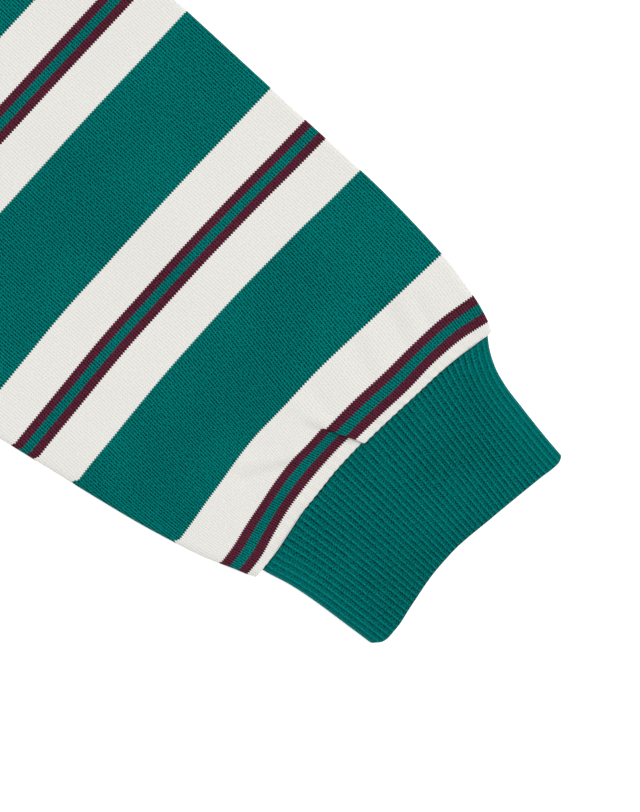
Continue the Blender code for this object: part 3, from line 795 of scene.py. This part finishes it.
def jersey():
    """Cotton single jersey, knitted in yarn-dyed stripes: fine upright rows of V stitches, matt, with
    painted shade in the gaps between the rows, dark in the deep colours and hardly seen in the white."""
    material, tree, shader, u, v = new_cloth("yarn_dyed_cotton_jersey")
    wale = add(tree, "Math", u, WALE, operation="DIVIDE")
    course = add(tree, "Math", v, COURSE, operation="DIVIDE")
    in_wale = add(tree, "Math", wale, operation="FRACT")
    from_middle = add(tree, "Math", in_wale, 0.5, operation="SUBTRACT")
    from_middle = add(tree, "Math", from_middle, operation="ABSOLUTE")
    slant = add(tree, "Math", from_middle, STITCH_LEAN, course, operation="MULTIPLY_ADD")
    number = add(tree, "Math", slant, operation="FLOOR")
    in_course = add(tree, "Math", slant, operation="FRACT")
    position = add(tree, "Math", number, FIRST_STRIPE - 0.5, operation="SUBTRACT")
    position = add(tree, "Math", position, REPEAT, operation="DIVIDE")
    position = add(tree, "Math", position, operation="FRACT")
    crown = stripe_colours(tree, position, "#612739", "#007c77", "#e4e2dd")
    # The gap colours are painted shade: each stripe's colour where shade falls between the rows of stitches
    gap = stripe_colours(tree, position, "#250c15", "#001f1e", "#d2d0ca")

    # Painted shade: beside each row of stitches the colour goes towards the gap colour, most where the
    # courses meet, and unevenly
    beside = add(tree, "MapRange", from_middle, 0.0, 0.34, 0.0, 1.0, interpolation_type="SMOOTHSTEP")
    level = add(tree, "Math", in_course, 0.5, operation="SUBTRACT")
    level = add(tree, "Math", level, operation="ABSOLUTE")
    dots = add(tree, "MapRange", level, 0.05, 0.45, 0.4, 1.25, interpolation_type="SMOOTHSTEP")
    shade = add(tree, "Math", beside, dots, operation="MULTIPLY")
    wales = add(tree, "CombineXYZ", wale, course, 0.0)
    uneven = add(tree, "TexNoise", wales, None, 1.3, 1.0, 0.6, noise_dimensions="2D")
    uneven = add(tree, "MapRange", uneven, 0.3, 0.7, 0.4, 1.5)
    handled = add(tree, "CombineXYZ", u, v, 0.0)
    handled = add(tree, "TexNoise", handled, None, 1 / PATCH, 1.0, 0.5, noise_dimensions="2D")
    handled = add(tree, "MapRange", handled, 0.35, 0.65, -0.04, 0.04)
    shade = add(tree, "Math", shade, uneven, handled, operation="MULTIPLY_ADD", use_clamp=True)
    colour = add(tree, "MixRGB", shade, crown, gap)
    tree.links.new(colour.outputs[0], shader.inputs["Base Color"])

    leg = add(tree, "Math", from_middle, 0.25, operation="SUBTRACT")
    leg = add(tree, "Math", leg, leg, operation="MULTIPLY")
    arch = add(tree, "Math", level, level, operation="MULTIPLY")
    low = add(tree, "Math", arch, 0.8, leg, operation="MULTIPLY_ADD")
    height = add(tree, "Math", 1.0, low, operation="SUBTRACT")
    raised = add(tree, "Bump", 0.5, 0.0006)
    tree.links.new(height.outputs[0], raised.inputs["Height"])
    tree.links.new(raised.outputs[0], shader.inputs["Normal"])
    return material


def rib_knit(name, opened):
    """Cotton rib knit: upright ribs with a painted highlight along each crest, a dark dotted line of
    painted shade down one side and a faint one down the other. The ribs are drawn open beside a cuff's two
    laid sides, by this share, and get less painted shade there."""
    material, tree, shader, u, v = new_cloth(name)
    rib = add(tree, "Math", u, RIB_PITCH, operation="DIVIDE")
    in_rib = add(tree, "Math", rib, operation="FRACT")
    stitch = add(tree, "Math", v, RIB_STITCH, operation="DIVIDE")
    in_stitch = add(tree, "Math", stitch, operation="FRACT")
    level = add(tree, "Math", in_stitch, 0.5, operation="SUBTRACT")
    level = add(tree, "Math", level, operation="ABSOLUTE")

    # Painted highlight: each rib's crest is mixed towards a lighter colour
    crest = add(tree, "Math", in_rib, 0.5, operation="SUBTRACT")
    crest = add(tree, "Math", crest, operation="ABSOLUTE")
    crest = add(tree, "MapRange", crest, 0.03, 0.2, 1.0, 0.0, interpolation_type="SMOOTHSTEP")
    # Painted shade: a dark dotted line down one side of each rib
    dark = add(tree, "Math", in_rib, SHADE_LINE, operation="SUBTRACT")
    dark = add(tree, "Math", dark, operation="ABSOLUTE")
    dark = add(tree, "MapRange", dark, 0.03, 0.2, 1.0, 0.0, interpolation_type="SMOOTHSTEP")
    dots = add(tree, "MapRange", level, 0.1, 0.4, 1.15, 0.2, interpolation_type="SMOOTHSTEP")
    dark = add(tree, "Math", dark, dots, operation="MULTIPLY")
    slow = add(tree, "Math", stitch, 0.3, operation="MULTIPLY")
    streaks = add(tree, "CombineXYZ", rib, slow, 0.0)
    streaks = add(tree, "TexNoise", streaks, None, 2.2, 1.0, 0.5, noise_dimensions="2D")
    streaks = add(tree, "MapRange", streaks, 0.35, 0.65, 0.3, 1.35)
    dark = add(tree, "Math", dark, streaks, operation="MULTIPLY")
    # Painted shade: a faint line down the other side of each rib
    faint = add(tree, "Math", in_rib, FAINT_SHADE_LINE, operation="SUBTRACT")
    faint = add(tree, "Math", faint, operation="ABSOLUTE")
    faint = add(tree, "MapRange", faint, 0.04, 0.2, 0.35, 0.0, interpolation_type="SMOOTHSTEP")
    between = add(tree, "MapRange", level, 0.15, 0.45, 0.3, 1.0, interpolation_type="SMOOTHSTEP")
    shade = add(tree, "Math", faint, between, dark, operation="MULTIPLY_ADD")
    # Painted shade, mottled at random and deeper between the loops of each stitch
    grain = add(tree, "CombineXYZ", u, v, 0.0)
    grain = add(tree, "TexNoise", grain, None, 2.1, 1.0, 0.7, noise_dimensions="2D")
    grain = add(tree, "MapRange", grain, 0.38, 0.62, 0.0, 1.0)
    loops = add(tree, "MapRange", level, 0.1, 0.45, 0.35, 0.75, interpolation_type="SMOOTHSTEP")
    handled = add(tree, "CombineXYZ", u, v, 0.0)
    handled = add(tree, "TexNoise", handled, None, 1 / PATCH, 1.0, 0.5, noise_dimensions="2D")
    handled = add(tree, "MapRange", handled, 0.35, 0.65, -0.04, 0.04)
    low = add(tree, "Math", grain, loops, handled, operation="MULTIPLY_ADD")
    shade = add(tree, "Math", shade, 0.75, low, operation="MULTIPLY_ADD", use_clamp=True)
    # Less painted shade on the ribs drawn open beside the cuff's laid sides
    beside = add(tree, "Math", rib, ROUND_RIBS / 2, operation="DIVIDE")
    beside = add(tree, "Math", beside, operation="FRACT")
    beside = add(tree, "Math", beside, 0.5, operation="SUBTRACT")
    beside = add(tree, "Math", beside, operation="ABSOLUTE")
    beside = add(tree, "MapRange", beside, 0.5 - OPENED_RIBS / ROUND_RIBS * 2, 0.5, 1.0, 1.0 - opened)
    shade = add(tree, "Math", shade, beside, operation="MULTIPLY")
    # The painted highlight on the crests is broken up at random
    uneven_highlight = add(tree, "Math", grain, -0.4, 1.15, operation="MULTIPLY_ADD")
    crest = add(tree, "Math", crest, uneven_highlight, operation="MULTIPLY", use_clamp=True)
    # Base colour #006b68, with a painted highlight #007f7a on the crests and painted shade #002422
    colour = add(tree, "MixRGB", crest, linear("#006b68"), linear("#007f7a"))
    colour = add(tree, "MixRGB", shade, colour, linear("#002422"))
    tree.links.new(colour.outputs[0], shader.inputs["Base Color"])
    raised = add(tree, "Bump", 0.4, 0.0005)
    height = add(tree, "Math", 1.0, shade, operation="SUBTRACT")
    tree.links.new(height.outputs[0], raised.inputs["Height"])
    tree.links.new(raised.outputs[0], shader.inputs["Normal"])
    return material


def thread():
    """Spun polyester sewing thread: off-white, a little smoother than the cloth, with its twist as a fine
    slanted grain."""
    material = bpy.data.materials.new("spun_polyester_thread")
    material.use_nodes = True
    tree = material.node_tree
    shader = tree.nodes["Principled BSDF"]
    shader.inputs["Roughness"].default_value = 0.7
    shader.inputs["Metallic"].default_value = 0.0
    shader.inputs["Specular IOR Level"].default_value = 0.3
    place = add(tree, "TexCoord")
    twist = add(tree, "TexWave", place.outputs["Object"], 1 / (TWIST * MM), 1.0, bands_direction="DIAGONAL")
    colour = add(tree, "MixRGB", twist, linear("#dcd9d2"), linear("#e9e7e1"))
    tree.links.new(colour.outputs[0], shader.inputs["Base Color"])
    raised = add(tree, "Bump", 0.4, 0.0001)
    tree.links.new(twist.outputs["Fac"], raised.inputs["Height"])
    tree.links.new(raised.outputs[0], shader.inputs["Normal"])
    return material


# Stage, in metres: the camera looks straight down on the end of the left sleeve

FLOOR_SIZE = 20.0
FLOOR_BELOW = 0.0002
CAMERA_HEIGHT = 0.7667
CAMERA_X = 0.5921
CAMERA_Y = -0.1047


def make_floor():
    """A plain white light table, which gives off a little light, so that no shadow falls on it."""
    bm = bmesh.new()
    bmesh.ops.create_grid(bm, x_segments=1, y_segments=1, size=FLOOR_SIZE / 2)
    mesh = bpy.data.meshes.new("floor")
    bm.to_mesh(mesh)
    bm.free()
    material = bpy.data.materials.new("white_light_table")
    material.use_nodes = True
    shader = material.node_tree.nodes["Principled BSDF"]
    shader.inputs["Base Color"].default_value = (0.98, 0.98, 0.98, 1)
    shader.inputs["Roughness"].default_value = 1.0
    shader.inputs["Specular IOR Level"].default_value = 0.0
    shader.inputs["Emission Color"].default_value = (1, 1, 1, 1)
    shader.inputs["Emission Strength"].default_value = 0.4
    mesh.materials.append(material)
    floor = bpy.data.objects.new("floor", mesh)
    floor.location.z = -FLOOR_BELOW
    bpy.context.scene.collection.objects.link(floor)


def make_lights():
    """A white room, with one broad soft lamp from the upper right to bring out the folds."""
    world = bpy.data.worlds.new("white_room")
    world.use_nodes = True
    world.node_tree.nodes["Background"].inputs["Color"].default_value = (1, 1, 1, 1)
    world.node_tree.nodes["Background"].inputs["Strength"].default_value = 0.67
    bpy.context.scene.world = world
    lamp = bpy.data.lights.new("softbox", "SUN")
    lamp.energy = 1.6
    lamp.angle = math.radians(25)
    softbox = bpy.data.objects.new("softbox", lamp)
    softbox.rotation_euler = (math.radians(-13), math.radians(9), 0)
    bpy.context.scene.collection.objects.link(softbox)


def make_camera():
    lens = bpy.data.cameras.new("camera")
    lens.lens = 100
    lens.sensor_fit = "VERTICAL"
    lens.sensor_width = 36
    lens.sensor_height = 36
    camera = bpy.data.objects.new("camera", lens)
    camera.location = (CAMERA_X, CAMERA_Y, CAMERA_HEIGHT)
    bpy.context.scene.collection.objects.link(camera)
    bpy.context.scene.camera = camera
    bpy.context.scene.view_settings.view_transform = "Standard"


def main():
    make_camera()
    make_lights()
    make_floor()
    striped = jersey()
    cuff_rib, neck_rib = rib_knit("cotton_rib_cuff", 0.4), rib_knit("cotton_rib_neckband", 0.0)
    for side, mirrored in (("left", False), ("right", True)):
        sleeve = make_sleeve("sleeve_" + side, mirrored, striped)
        cuff = make_cuff("cuff_" + side, mirrored, cuff_rib)
    back = make_panel("back", BACK_NECK_DROP, 2, False, striped)
    front = make_panel("front", FRONT_NECK_DROP, 1, True, striped)
    band = make_neckband(neck_rib)
    stitches = make_stitches(thread())


main()
